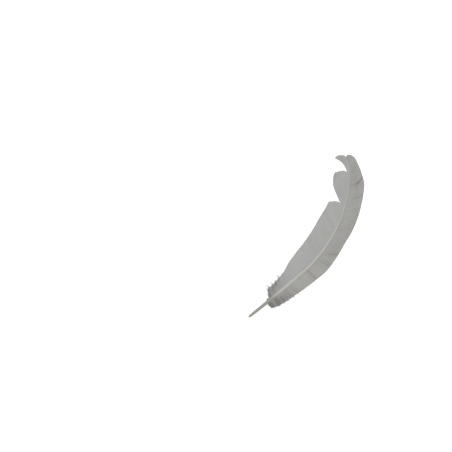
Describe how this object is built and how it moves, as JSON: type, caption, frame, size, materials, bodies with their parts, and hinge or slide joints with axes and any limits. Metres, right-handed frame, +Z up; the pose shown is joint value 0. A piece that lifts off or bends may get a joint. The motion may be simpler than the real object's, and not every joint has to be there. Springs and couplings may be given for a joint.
{
  "type": "turkey feather",
  "caption": "White turkey wing feather with a bowed shaft, a wide inner vane, a narrow outer vane, ragged splits and down at its foot.",
  "frame": {"origin": "middle of the feather's bounding box in plan, on the surface that it lies on", "axes": "+Z up from the surface that it lies on, +Y along the feather from the quill end towards the tip, +X towards the outer vane"},
  "size_m": [0.1702, 0.2382, 0.0111],
  "materials": {
    "vane": "matte",
    "shaft": "satin",
    "down": "matte"
  },
  "bodies": {
    "root": {"feather": "vane"}
  },
  "joints": []
}
